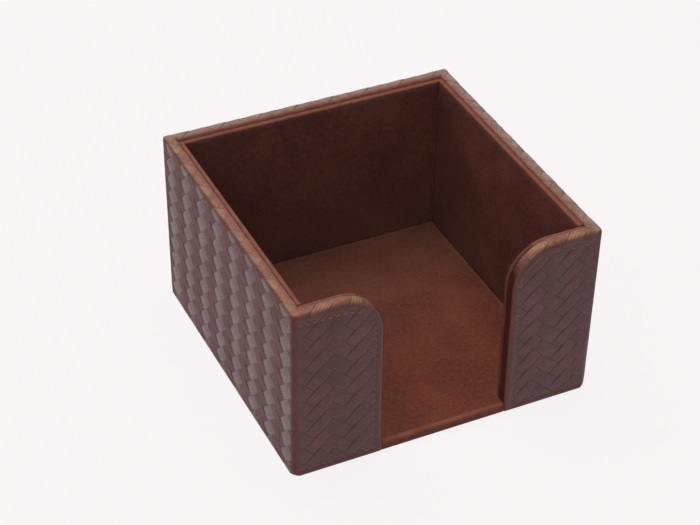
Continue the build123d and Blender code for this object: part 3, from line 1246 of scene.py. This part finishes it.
    # -- pieces
    def side(self, name: str, mirrored: bool) -> Piece:
        """Builds one cheek, its side wall and both upright corners as one closed skin.

        Args:
            name: the piece's name.
            mirrored: whether it is the right side.

        Returns:
            The object.
        """
        skin, reach = Skin(), self.reach
        stations, foot_count, turn = self.notch_stations()
        first_corner = len(stations)
        stations += self.corner_stations(-1, 0.0)
        stations += self.wall_stations(Vector((-self.half, -reach)), Vector((-self.half, reach)),
                                       Vector((-1, 0, 0)), -self.quarter)
        stations += self.corner_stations(1, -self.side_length)
        rolled = [self.roll_row(skin, station) for station in stations]
        skin.span(rolled)
        columns = [self.column(skin, station, row)
                   for station, row in zip(stations[first_corner:], rolled[first_corner:])]
        skin.span(columns)
        self.cheek(skin, Edge(stations, rolled, foot_count, turn, first_corner, columns[0]))
        skin.faces.append(rolled[-1] + columns[-1][-2:0:-1])
        shift = -3 * self.side_length if mirrored else 0.0
        return skin.object(name, self.inside_seam, mirrored, shift)

    def cheek(self, skin: Skin, edge: Edge) -> None:
        """Fills the front wall between the notch's rolled edge and the upright corner.

        Args:
            skin: the surface.
            edge: its rolled edge.
        """
        rows, foot_count = self.rows, edge.foot_count
        left = [row[0] for row in edge.rolled[foot_count:edge.turn + 1]]
        top = [row[0] for row in edge.rolled[edge.turn:edge.first_corner + 1]]
        right = edge.corner[rows::-1]
        columns = len(top) - 1
        flat, flat_top, flat_right = ([Vector(skin.flats[index]) for index in line]
                                      for line in (left, top, right))
        low_left, low_right = flat[0], flat_right[0]
        patch = [left]
        for column in range(1, columns):
            u = column / columns
            low = low_left.lerp(low_right, u)
            line = []
            for row in range(rows):
                v = row / rows
                spot = flat[row].lerp(flat_right[row], u) + low.lerp(flat_top[column], v)
                spot -= low_left.lerp(low_right, u).lerp(flat_top[0].lerp(flat_top[-1], u), v)
                place = (spot.x - self.half + self.corner - self.quarter, -self.half, spot.y)
                line.append(skin.point(place, tuple(spot), self.strength(tuple(spot))))
            line.append(top[column])
            patch.append(line)
        patch.append(right)
        skin.span(patch)

        # Foot: the rounding, then the turned-under edge.
        feet = [[line[0]] for line in patch]
        for number, angle in enumerate(self.foot_angles()):
            level = self.foot + self.foot_roll * (1 - math.sin(angle))
            depth = self.foot_roll * (1 - math.cos(angle))
            feet[0].append(edge.rolled[foot_count - 1 - number][0])
            feet[-1].append(edge.corner[rows + 1 + number])
            for foot, line in zip(feet[1:-1], patch[1:-1]):
                place = skin.points[line[0]]
                foot.append(skin.point((place[0], -self.half + depth, level),
                                       skin.flats[line[0]]))
        skin.span(feet)
        self.hidden_side(skin, edge, [foot[-1] for foot in feet])

    def hidden_side(self, skin: Skin, edge: Edge, sole: Sequence[int]) -> None:
        """Closes the cheek behind the board and below the base.

        Args:
            skin: the surface.
            edge: its rolled edge.
            sole: points along the front of the underside, from the notch to the corner.
        """
        rolled, foot_count = edge.rolled, edge.foot_count
        full = next(index for index, station in enumerate(edge.stations) if station.full)
        reach = len(rolled[0]) - 1  # the point where the leather meets the base board's front
        skin.faces.append(rolled[full][reach:])
        under_out, under_in, board_low = edge.corner[-4:-1]
        edge_x = -self.notch - self.under_inset
        y = -self.half + self.turn_under
        upper = self.foot + self.turn_under_skin
        end_low, end_high = (skin.point((edge_x, y, level), (0.0, 0.0))
                             for level in (self.foot, upper))
        last = [row[reach] for row in rolled[:full + 1]]
        skin.faces.append([row[-1] for row in rolled[full:edge.first_corner + 1]]
                          + [board_low] + last[foot_count - 1:])
        skin.faces.append([board_low, last[foot_count - 1], end_high, under_in])
        skin.faces.append(last[:foot_count] + [end_high, end_low])
        skin.faces.append([end_low, end_high, under_in, under_out])
        skin.faces.append(rolled[0][:reach + 1] + [end_low, under_out] + sole[:0:-1])

    def back(self, name: str) -> Piece:
        """Builds the back wall's part of the cover.

        Args:
            name: the piece's name.

        Returns:
            The object.
        """
        skin, reach = Skin(), self.reach
        along = -self.side_length - self.quarter
        ends = [Vector((-reach, self.half)), Vector((reach, self.half))]
        face = Vector((0, 1, 0))
        stations = [self.rim_station(ends[0], face, along)]
        stations += self.wall_stations(ends[0], ends[1], face, along)
        stations.append(self.rim_station(ends[1], face, along - 2 * reach))
        rolled = [self.roll_row(skin, station) for station in stations]
        columns = [self.column(skin, station, row) for station, row in zip(stations, rolled)]
        skin.span(rolled)
        skin.span(columns)
        for end in (0, -1):
            skin.faces.append(rolled[end] + columns[end][-2:0:-1])
        return skin.object(name, self.inside_seam, False, 0.0)

    def emboss_tree(self) -> Tree:
        """Presses the herringbone weave and the stitched line into the leather.

        Returns:
            The geometry node tree.
        """
        w, source, sink = open_tree(
            "Geometry", "herringbone emboss",
            [("Geometry", "Geometry"), *self.weave.inputs(),
             ("Gap Depth", "Float", self.gap_depth * MM), ("Gap Width", "Float", self.gap_width),
             ("Falling Gap", "Float", self.falling_gap),
             ("Ridge Depth", "Float", self.ridge_depth * MM),
             ("End Dip", "Float", self.end_dip * MM), ("Seam Depth", "Float", self.seam_depth * MM),
             ("Puff Depth", "Float", self.puff_depth * MM),
             ("Join Place", "Float", self.reach * MM), ("Material", "Material")],
            [("Geometry", "Geometry")])

        def read(name: str, kind: str = "FLOAT") -> Socket:
            """A named attribute of the mesh."""
            return w.out("GeometryNodeInputNamedAttribute", {"Name": name}, data_type=kind)

        strand = strand_place(w, read(FLAT, "FLOAT_VECTOR"), *self.weave.sockets(source))
        _, across, rising, _, side, end = strand.values()
        nearest = w.least(side, end)
        share = w.line(rising, w.minus(1.0, source["Falling Gap"]), source["Falling Gap"])
        gap = w.times(w.ramp(nearest, 0.0, source["Gap Width"], 1.0, 0.0), share)
        crown = w.math("POWER", w.times(w.minus(0.5, side), 2.0), 2.0)
        dip = w.times(w.ramp(end, 0.0, 0.9, 1.0, 0.0), source["End Dip"])
        turn = w.times(w.times(across, source["Ridges"]), 2 * math.pi)
        ridge = w.times(w.line(w.math("COSINE", turn), 0.5, 0.5), source["Ridge Depth"])
        depth = w.times(gap, source["Gap Depth"])
        depth = w.plus(depth, w.times(crown, w.times(source["Gap Depth"], self.crown_share)))
        depth = w.plus(w.plus(depth, dip), ridge)
        away = w.size(read(SEAM))
        near = w.ramp(away, 0.0, self.seam_width, 1.0, 0.0)
        depth = w.times(depth, w.minus(1.0, near))
        pull = w.times(near, source["Seam Depth"])
        puff = w.times(w.ramp(away, 0.0, self.puff_width, 1.0, 0.0), source["Puff Depth"])
        firm = w.math("DIVIDE", read(RELIEF), 0.55, clamp=True)
        whole_pull = w.times(w.plus(pull, puff), firm)
        depth = w.line(depth, read(RELIEF), whole_pull)
        # where two parts of the strip meet, both are pressed straight in, so that no slit opens
        x, y, _ = w.split(w.out("GeometryNodeInputPosition"))
        beyond = w.minus(w.size(x), source["Join Place"])
        joined = w.times(w.math("LESS_THAN", w.size(beyond), HAIR), w.math("GREATER_THAN", y, 0.0))
        straight = w.join(w.minus(1.0, joined), 1.0, 1.0)
        normal = w.vector("MULTIPLY", w.out("GeometryNodeInputNormal"), straight)
        normal = w.out("ShaderNodeVectorMath", {0: normal}, operation="NORMALIZE")
        offset = w.vector("SCALE", normal, w.times(depth, -1.0))
        keep = w.out("GeometryNodeStoreNamedAttribute", {
            "Geometry": source["Geometry"], "Name": GAP, "Value": w.times(gap, read(RELIEF))},
            data_type="FLOAT", domain="POINT")
        moved = w.out("GeometryNodeSetPosition", {"Geometry": keep, "Offset": offset})
        return end_tree(w, source, sink, moved)

    def build(self, material: Finish) -> list[Piece]:
        """Builds and embosses the three parts of the strip.

        Args:
            material: the cover's leather.

        Returns:
            The pieces.
        """
        pieces = [self.side("cover_left", False), self.back("cover_back"),
                  self.side("cover_right", True)]
        tree = self.emboss_tree()
        for piece in pieces:
            piece.data.materials.append(material)
            run_tree(piece, tree, {"Material": material})
        return pieces


# ---- stitches
@dataclass
class Stitches:
    """Sewing thread that shows on the outside of the cover."""

    cover: Cover
    pitch: float = 2.4
    length: float = 1.9
    thickness: float = 0.6
    sway: float = 0.05  # how far a stitch turns out of the line
    seed: int = 7

    def one(self, material: Finish) -> Piece:
        """A single stitch that dips into the leather at both ends.

        Args:
            material: the thread.

        Returns:
            The object, which isn't shown.
        """
        sides, rings = 8, 6
        points, faces = [], []
        for ring in range(rings + 1):
            share = ring / rings * 2 - 1
            radius = self.thickness / 2 * (0.72 + 0.28 * math.sqrt(max(0.0, 1 - share ** 2)))
            lift = -0.2 * abs(share) ** 3
            for side in range(sides):
                angle = 2 * math.pi * (side / sides + 0.1 * share)
                points.append((share * self.length / 2 * MM, radius * math.cos(angle) * MM,
                               (radius * math.sin(angle) + lift) * MM))
        for ring in range(rings):
            for side in range(sides):
                a = ring * sides + side
                b = ring * sides + (side + 1) % sides
                faces.append((a, b, b + sides, a + sides))
        faces.append(tuple(range(sides)))
        faces.append(tuple(range(rings * sides, (rings + 1) * sides)))
        mesh = bpy.data.meshes.new("one stitch")
        mesh.from_pydata(points, [], faces)
        mesh.materials.append(material)
        piece = close_up(mesh, "one stitch")
        bpy.context.scene.collection.objects.unlink(piece)
        return piece

    def tree(self) -> Tree:
        """Lays stitches along an edge path.

        Returns:
            The geometry node tree.
        """
        w, source, sink = open_tree(
            "Geometry", "stitched line",
            [("Geometry", "Geometry"), ("Stitch", "Object"), ("Pitch", "Float", self.pitch * MM),
             ("Sway", "Float", self.sway), ("Seed", "Int", self.seed), ("Material", "Material")],
            [("Geometry", "Geometry")])
        curve = w.out("GeometryNodeMeshToCurve", {"Mesh": source["Geometry"]})
        steps = w.out("GeometryNodeResampleCurve", {"Curve": curve, "Length": source["Pitch"]},
                      mode="LENGTH")
        face = w.out("GeometryNodeInputNamedAttribute", {"Name": FACING}, data_type="FLOAT_VECTOR")
        tangent = w.out("GeometryNodeInputTangent")
        sway = w.out("FunctionNodeRandomValue", {
            0: (-1.0, -1.0, -1.0), 1: (1.0, 1.0, 1.0), "Seed": source["Seed"]},
            data_type="FLOAT_VECTOR")
        line = w.vector("ADD", tangent, w.vector("SCALE", sway, source["Sway"]))
        spin = w.out("FunctionNodeAxesToRotation", {"Primary Axis": face, "Secondary Axis": line},
                     primary_axis="Z", secondary_axis="X")
        shape = w.node("GeometryNodeObjectInfo", {"Object": source["Stitch"]})
        laid = w.out("GeometryNodeInstanceOnPoints", {
            "Points": steps, "Instance": shape.outputs["Geometry"], "Rotation": spin})
        return end_tree(w, source, sink, laid)

    def path(self, name: str, line: Sequence[tuple[Vector, Vector]], mirrored: bool) -> Piece:
        """Makes a line of points an edge path that knows which way the leather faces.

        Args:
            name: the piece's name.
            line: points with normals, in mm.
            mirrored: whether it is for the right side.

        Returns:
            The object.
        """
        sign = -1 if mirrored else 1
        mesh = bpy.data.meshes.new(name)
        mesh.from_pydata([(sign * p.x * MM, p.y * MM, p.z * MM) for p, _ in line],
                         [(index, index + 1) for index in range(len(line) - 1)], [])
        facing = mesh.attributes.new(FACING, "FLOAT_VECTOR", "POINT")
        facing.data.foreach_set("vector", [value for _, n in line for value in (sign * n.x, n.y, n.z)])
        return link_object(name, mesh)

    def build(self, material: Finish) -> list[Piece]:
        """Sews the rim, the notch edges and the foot on both sides.

        Args:
            material: the thread.

        Returns:
            The pieces.
        """
        stitch, tree, cover = self.one(material), self.tree(), self.cover
        low = cover.foot + cover.stitch_foot
        start = -cover.notch - cover.stitch_notch
        front = [(Vector((x, -cover.half + cover.stitch_inset, low)), Vector((0, -1, 0)))
                 for x in spread(start, -cover.notch - cover.shoulder, 12)]
        pieces = []
        lines = {"rim_stitches": cover.seam_line(), "foot_stitches": front + cover.level_line(low)}
        for name, line in lines.items():
            for side, mirrored in (("left", False), ("right", True)):
                piece = self.path(f"{name}_{side}", line, mirrored)
                run_tree(piece, tree, {"Stitch": stitch, "Material": material})
                pieces.append(piece)
        bpy.data.objects.remove(stitch)
        return pieces


# ---- linings
def soft_copy(node: str) -> bmesh.types.BMesh:
    """Copies a CAD node's mesh, with its doubles merged and each flat face whole.

    Args:
        node: the node's name.

    Returns:
        The copy.
    """
    work = bmesh.new()
    work.from_mesh(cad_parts[node].data)
    bmesh.ops.remove_doubles(work, verts=work.verts, dist=MERGE)
    bmesh.ops.dissolve_limit(work, angle_limit=math.radians(1), verts=work.verts, edges=work.edges)
    return work


def cut_across(work: bmesh.types.BMesh, axis: int, places: Iterable[float]) -> None:
    """Cuts a mesh square to one axis.

    Args:
        work: the mesh.
        axis: 0, 1 or 2.
        places: where along the axis.
    """
    normal = Vector([1.0 if index == axis else 0.0 for index in range(3)])
    for place in places:
        geometry = work.verts[:] + work.edges[:] + work.faces[:]
        bmesh.ops.bisect_plane(work, geom=geometry, dist=1e-6, plane_co=normal * place,
                               plane_no=normal)


def soft_piece(work: bmesh.types.BMesh, name: str, material: Finish) -> Piece:
    """Makes a softened copy a piece.

    Args:
        work: the copy.
        name: the piece's name.
        material: its finish.

    Returns:
        The object.
    """
    mesh = bpy.data.meshes.new(name)
    work.to_mesh(mesh)
    work.free()
    mesh.materials.append(material)
    return close_up(mesh, name)


@dataclass
class Panel:
    """Leather-wrapped card: a copy of its CAD solid, made soft."""

    node: str
    inward: Vector  # which way its face looks
    softness: float = 0.12  # how far the leather sinks between its high spots
    rounding: float = 0.8  # of its free edges
    cell: float = 2.0
    lift: float = 0.0  # how much higher the leather stands at the top than the solid
    lifted: float = 1.5  # how much of the top is lifted with it
    rubbed_depth: float = 20.0  # how far down its upright edges are rubbed
    rubbed_width: float = 1.3
    firm: float = 6.0  # how near its edges the leather sinks less
    waves: float = 90.0  # scale of its unevenness, per metre

    def build(self, material: Finish) -> Piece:
        """Builds the panel from the CAD solid.

        Args:
            material: the lining leather.

        Returns:
            The object.
        """
        low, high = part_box(self.node)
        work = soft_copy(self.node)
        for axis in range(3):
            if abs(self.inward[axis]) < 0.5:
                cut_across(work, axis, self.cells(low[axis], high[axis]))
        bmesh.ops.triangulate(work, faces=[f for f in work.faces if len(f.verts) > 4])
        face = max(vert.co.dot(self.inward) for vert in work.verts)
        wear = work.verts.layers.float.new(EDGE)
        for vert in work.verts:
            near_top = vert.co.z > high.z - self.lifted * MM
            self.soften(vert, face - vert.co.dot(self.inward), low, high, wear)
            if near_top:
                vert.co.z += self.lift * MM
        return soft_piece(work, f"{self.node}_panel", material)

    def cells(self, low: float, high: float) -> list[float]:
        """Where the mesh is cut in cells along one axis, with finer cells next to both ends.

        Args:
            low: where the panel starts.
            high: where it ends.

        Returns:
            The places.
        """
        near = [share * self.rounding * MM for share in (0.15, 0.4, 0.7, 1.0)]
        cells = max(2, round((high - low) / (self.cell * MM)))
        ends = [low + step for step in near] + [high - step for step in near]
        return ends + spread(low, high, cells)[1:-1]

    def soften(self, vert: bmesh.types.BMVert, sunk: float, low: Vector, high: Vector,
               wear: bmesh.types.BMLayerItem) -> None:
        """Rounds the face's free edges and lets the leather between them sink a little.

        Args:
            vert: the point.
            sunk: how far it lies behind the face.
            low: the panel's lowest corner.
            high: the panel's highest corner.
            wear: the layer that marks edges.
        """
        if sunk > HAIR:
            if self.inward.z < 0.5 and high.z - vert.co.z < 1.2 * MM:
                vert[wear] = 1.0
            return
        away = 1.0
        for axis in range(3):
            if abs(self.inward[axis]) < 0.5:
                away = min(away, vert.co[axis] - low[axis], high[axis] - vert.co[axis])
        radius = self.rounding * MM
        drop = min(rounded(away, radius), 0.7 * radius)
        share = min(1.0, away / (self.firm * MM))
        waves = 0.5 + 0.5 * noise.noise(vert.co * self.waves)
        drop += self.softness * MM * share * waves
        down = (high.z - vert.co.z) / (self.rubbed_depth * MM)
        worn = max(0.0, 1.0 - away / (self.rubbed_width * MM))
        vert[wear] = worn * min(1.0, max(0.1, 2.0 - 2.0 * down))
        vert.co -= self.inward * drop


@dataclass
class Floor(Panel):
    """Floor panel, whose leather runs out through the notch and rolls over the front edge."""

    tongue: float = 21.6  # half of the tongue's width
    well: float = 46.75  # half of the panel's width inside the box
    lip: float = 1.8  # radius of the roll over the front edge
    fill: float = 0.13  # how far the soft leather fills the gap beside the tongue
    waves: float = 60.0

    def soften(self, vert: bmesh.types.BMVert, sunk: float, low: Vector, high: Vector,
               wear: bmesh.types.BMLayerItem) -> None:
        """Rounds the panel's outline, which is a square with a tongue.

        Args:
            vert: the point.
            sunk: how far it lies behind the face.
            low: the panel's lowest corner.
            high: the panel's highest corner.
            wear: the layer that marks edges.
        """
        x, y = vert.co.x / MM, vert.co.y / MM
        if y < -self.well and abs(x) > self.tongue - 0.5:
            vert.co.x += math.copysign(self.fill * MM, x)
        front = y - low.y / MM
        deep = sunk / MM
        if front < self.lip and deep < self.lip:
            ahead, up = self.lip - front, self.lip - deep
            reach = math.hypot(ahead, up)
            turn = (abs(ahead / reach) ** 4 + abs(up / reach) ** 4) ** 0.25
            if reach > 0.9 * self.lip:
                vert.co.y = low.y + (self.lip - ahead / turn) * MM
                vert.co.z = high.z - (self.lip - up / turn) * MM
        # the lip's rubbed colour peaks in a narrow line along its top edge: wear and a painted highlight
        vert[wear] = max(0.0, 1.0 - math.hypot(front - 0.4, deep - 0.3) / 1.2)
        if sunk > HAIR:
            return
        if y <= -self.well:
            away = self.tongue - abs(x) + 0.4
        elif abs(x) > self.tongue:
            away = min(self.well - abs(x), self.well - y, y + self.well)
        else:
            corner = math.hypot(y + self.well, self.tongue - abs(x))
            away = min(self.well - abs(x), self.well - y, corner)
        away = max(0.0, away)
        share = min(1.0, away / self.firm) * min(1.0, max(0.0, front - 2.0) / self.firm)
        drop = rounded(away, self.rounding)
        drop += self.softness * share * (0.5 + 0.5 * noise.noise(vert.co * self.waves))
        vert[wear] = max(vert[wear], 0.8 * max(0.0, 1.0 - away / 0.9))
        vert.co.z -= drop * MM


@dataclass
class BaseFelt:
    """Felt sheet under the box."""

    node: str = "base_felt"
    flat: tuple[float, float] = (0.1, 0.1)
    cell: float = 2.5
    rim: float = 0.0001  # how near its edge or its underside a point counts as on it, in metres
    rim_sway: float = 0.0001  # how far its edge wanders inwards
    under_sway: float = 0.00004
    waves: float = 260.0  # scale of its unevenness, per metre
    seed: int = 11  # without one, the noise would follow the clock

    def build(self, material: Finish) -> Piece:
        """Builds the sheet with soft, slightly uneven edges.

        Args:
            material: the felt.

        Returns:
            The object.
        """
        low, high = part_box(self.node)
        work = soft_copy(self.node)
        for axis in range(2):
            count = round((high[axis] - low[axis]) / (self.cell * MM))
            cut_across(work, axis, spread(low[axis], high[axis], count)[1:-1])
        noise.seed_set(self.seed)
        for vert in work.verts:
            sway = noise.noise_vector(vert.co * self.waves)
            if max(abs(vert.co.x), abs(vert.co.y)) > high.x - self.rim:
                vert.co.x -= math.copysign(abs(sway.x) * self.rim_sway, vert.co.x)
                vert.co.y -= math.copysign(abs(sway.y) * self.rim_sway, vert.co.y)
            elif vert.co.z < self.rim:
                vert.co.z += abs(sway.z) * self.under_sway
        return soft_piece(work, "felt_sheet", material)


# ---- studio
@dataclass
class Studio:
    """Plain pale floor, soft lamps and the camera."""

    azimuth: float = -25.883
    elevation: float = 36.992
    roll: float = 0.868
    distance: float = 649.764
    aside: float = 7.38
    above: float = -25.551
    sensor: float = 36.0
    focal: float = 1922.487 / 700  # focal length, as a share of the sensor's width
    floor_reach: float = 4.0  # half of the floor's side, in metres
    white: tuple = linear(251, 247, 248)
    floor_white: float = 0.93  # share of the white on the floor, which keeps the box's shadow

    def camera(self) -> None:
        """Places the camera where the photographer stood."""
        turn, lift, tilt = (math.radians(value) for value in
                            (self.azimuth, self.elevation, self.roll))
        back = Vector((math.sin(turn) * math.cos(lift), -math.cos(turn) * math.cos(lift),
                       math.sin(lift)))
        right = Vector((0, 0, 1)).cross(back).normalized()
        up = back.cross(right)
        right_rolled = right * math.cos(tilt) + up * math.sin(tilt)
        up_rolled = up * math.cos(tilt) - right * math.sin(tilt)
        place = back * self.distance - right_rolled * self.aside - up_rolled * self.above
        data = bpy.data.cameras.new("camera")
        data.sensor_width, data.lens = self.sensor, self.focal * self.sensor
        data.clip_start, data.clip_end = 0.01, 20
        camera = link_object("camera", data)
        matrix = camera.matrix_world.to_3x3()
        matrix.col[0], matrix.col[1], matrix.col[2] = right_rolled, up_rolled, back
        camera.matrix_world = matrix.to_4x4()
        camera.location = place * MM
        bpy.context.scene.camera = camera

    def floor(self) -> None:
        """Lays a wide pale floor that keeps the box's soft shadow."""
        mesh = bpy.data.meshes.new("studio floor")
        far = self.floor_reach
        corners = [(-far, -far, 0), (far, -far, 0), (far, far, 0), (-far, far, 0)]
        mesh.from_pydata(corners, [], [(0, 1, 2, 3)])
        floor = link_object("studio_floor", mesh)
        material, w, shader = new_material("studio paper")
        soft = w.out("ShaderNodeTexNoise", {"Vector": w.place(), "Scale": 3.0})
        tone = w.blend(w.ramp(soft, 0.3, 0.7), linear(246, 244, 244), linear(250, 248, 248))
        w.dress(shader, Base_Color=tone, Roughness=0.9, Specular_IOR_Level=0.1)
        glow = w.out("ShaderNodeEmission", {"Color": self.white, "Strength": 1.0})
        self.show_white(w, "Material Output", shader.outputs[0], glow, self.floor_white)
        mesh.materials.append(material)

    @staticmethod
    def show_white(w: Wiring, output: str, lit: Socket, white: Socket, share: float) -> None:
        """Shows a surface or the room as white, though it is lit as it is.

        Args:
            w: the wiring of its tree.
            output: the tree's output node.
            lit: the shader that gives and takes light.
            white: the shader that is seen.
            share: how much of the white the camera sees.
        """
        path = w.node("ShaderNodeLightPath").outputs
        seen = path["Is Camera Ray"]
        if share < 1.0:
            seen = w.times(seen, share)
        seen = w.most(w.most(seen, path["Is Glossy Ray"]), path["Is Transmission Ray"])
        mix = w.out("ShaderNodeMixShader", {0: seen, 1: lit, 2: white})
        w.feed(w.tree.nodes[output].inputs["Surface"], mix)

    def world(self, strength: float) -> None:
        """Fills the room with even light, and shows white behind the box.

        Args:
            strength: the light's level.
        """
        world = bpy.data.worlds.new("room")
        world.use_nodes = True
        bpy.context.scene.world = world
        w = Wiring(world.node_tree)
        room = w.tree.nodes["Background"]
        w.dress(room, Color=(0.90, 0.95, 1.0, 1.0), Strength=strength)
        white = w.out("ShaderNodeBackground", {"Color": self.white, "Strength": 1.0})
        self.show_white(w, "World Output", room.outputs[0], white, 1.0)

    @staticmethod
    def lamp(name: str, place: Point, size: float, power: float, colour: Point) -> None:
        """Hangs a square soft lamp that looks at the box.

        Args:
            name: its name.
            place: where it hangs, in metres.
            size: its side, in metres.
            power: in watts.
            colour: of its light.
        """
        data = bpy.data.lights.new(name, "AREA")
        data.size, data.energy, data.color = size, power, colour
        lamp = link_object(name, data)
        lamp.location = place
        aim = Vector((0, 0, 0.03)) - Vector(place)
        lamp.rotation_euler = aim.to_track_quat("-Z", "Y").to_euler()

    def build(self) -> None:
        """Sets up the camera, the floor and the light."""
        self.camera()
        self.floor()
        self.world(0.25)
        self.lamp("top lamp", (0.0, 0.15, 1.0), 0.6, 4.4, (1.0, 0.87, 0.74))
        self.lamp("back lamp", (-0.3, 0.7, 0.9), 0.8, 2.8, (1.0, 0.97, 0.93))
        self.lamp("front lamp", (-0.4, -0.75, 0.8), 0.8, 1.2, (1.0, 0.97, 0.93))
        self.lamp("left lamp", (-0.85, -0.4, 0.65), 0.8, 1.2, (0.93, 0.97, 1.0))
        bpy.context.scene.view_settings.view_transform = "Standard"


# ---- main
def place_piece(piece: Piece, slot: Slot, nodes: Iterable[str] = ()) -> None:
    """Hides the CAD nodes that a piece stands for, hangs it on the root body and logs it.

    Args:
        piece: the piece.
        slot: the record's slot, which is only logged.
        nodes: the CAD nodes that it stands for.
    """
    if nodes:
        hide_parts(*nodes)
    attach(piece, "root")
    log.info("%s: %d faces, %s", piece.name, len(piece.data.polygons), slot.value)


def build_cover(effects: Effects) -> None:
    """Builds the cover and its stitches.

    Args:
        effects: the shared shader groups.
    """
    low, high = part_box("outer_cover")
    board_low, board_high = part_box("back_board")
    _, lining_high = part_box("front_left_lining")
    cover = Cover(half=high.x / MM, height=high.z / MM, foot=low.z / MM,
                  skin=(high.y - board_high.y) / MM, base_top=board_low.z / MM,
                  notch=-lining_high.x / MM)
    for piece in cover.build(EmbossedLeather(cover.weave).material(effects)):
        place_piece(piece, Slot.COVER, ["outer_cover"])
    for piece in Stitches(cover).build(Thread().material()):
        place_piece(piece, Slot.COVER)


def build_linings(effects: Effects) -> None:
    """Builds the wall linings, the floor panel and the felt.

    Args:
        effects: the shared shader groups.
    """
    leather = SmoothLeather().material(effects)
    handled = SmoothLeather("floor leather", linear(90, 45, 38), linear(124, 66, 51),
                            linear(162, 104, 88), contrast=1.25, rubbed=0.85).material(effects)
    panels = [Panel("back_lining", Vector((0, -1, 0))),
              Panel("left_lining", Vector((1, 0, 0)), lift=0.45),
              Panel("right_lining", Vector((-1, 0, 0)), lift=0.5),
              Panel("front_left_lining", Vector((0, 1, 0)), lift=0.2),
              Panel("front_right_lining", Vector((0, 1, 0)), lift=0.2),
              Floor("floor_lining", Vector((0, 0, 1)), rounding=0.55)]
    for panel in panels:
        finish = handled if isinstance(panel, Floor) else leather
        place_piece(panel.build(finish), Slot.LINING, [panel.node])
    felt = BaseFelt()
    fibre = Fibre("felt", linear(38, 32, 33), linear(66, 56, 56), 0.0003, 0.95, 0.0001)
    piece = felt.build(fibre.material())
    place_piece(piece, Slot.FELT, [felt.node])


def dress_hidden_nodes() -> None:
    """Gives the boards and cards inside the walls their own finish."""
    board = Fibre("grey board", linear(120, 114, 106), linear(168, 162, 152), 0.0004).material()
    card = Fibre("stiff card", linear(150, 136, 116), linear(186, 172, 150), 0.0003).material()
    for name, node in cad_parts.items():
        finish = {"board": board, "card": card}.get(name.rpartition("_")[2])
        for slot in node.material_slots if finish else ():
            slot.material = finish


def main() -> None:
    """Builds every sub-assembly in order and reports each piece."""
    logging.basicConfig(level=logging.INFO, format="%(name)s %(message)s", stream=sys.stdout)
    Studio().build()
    effects = Effects()
    build_cover(effects)
    build_linings(effects)
    dress_hidden_nodes()


if __name__ == "__main__":
    main()
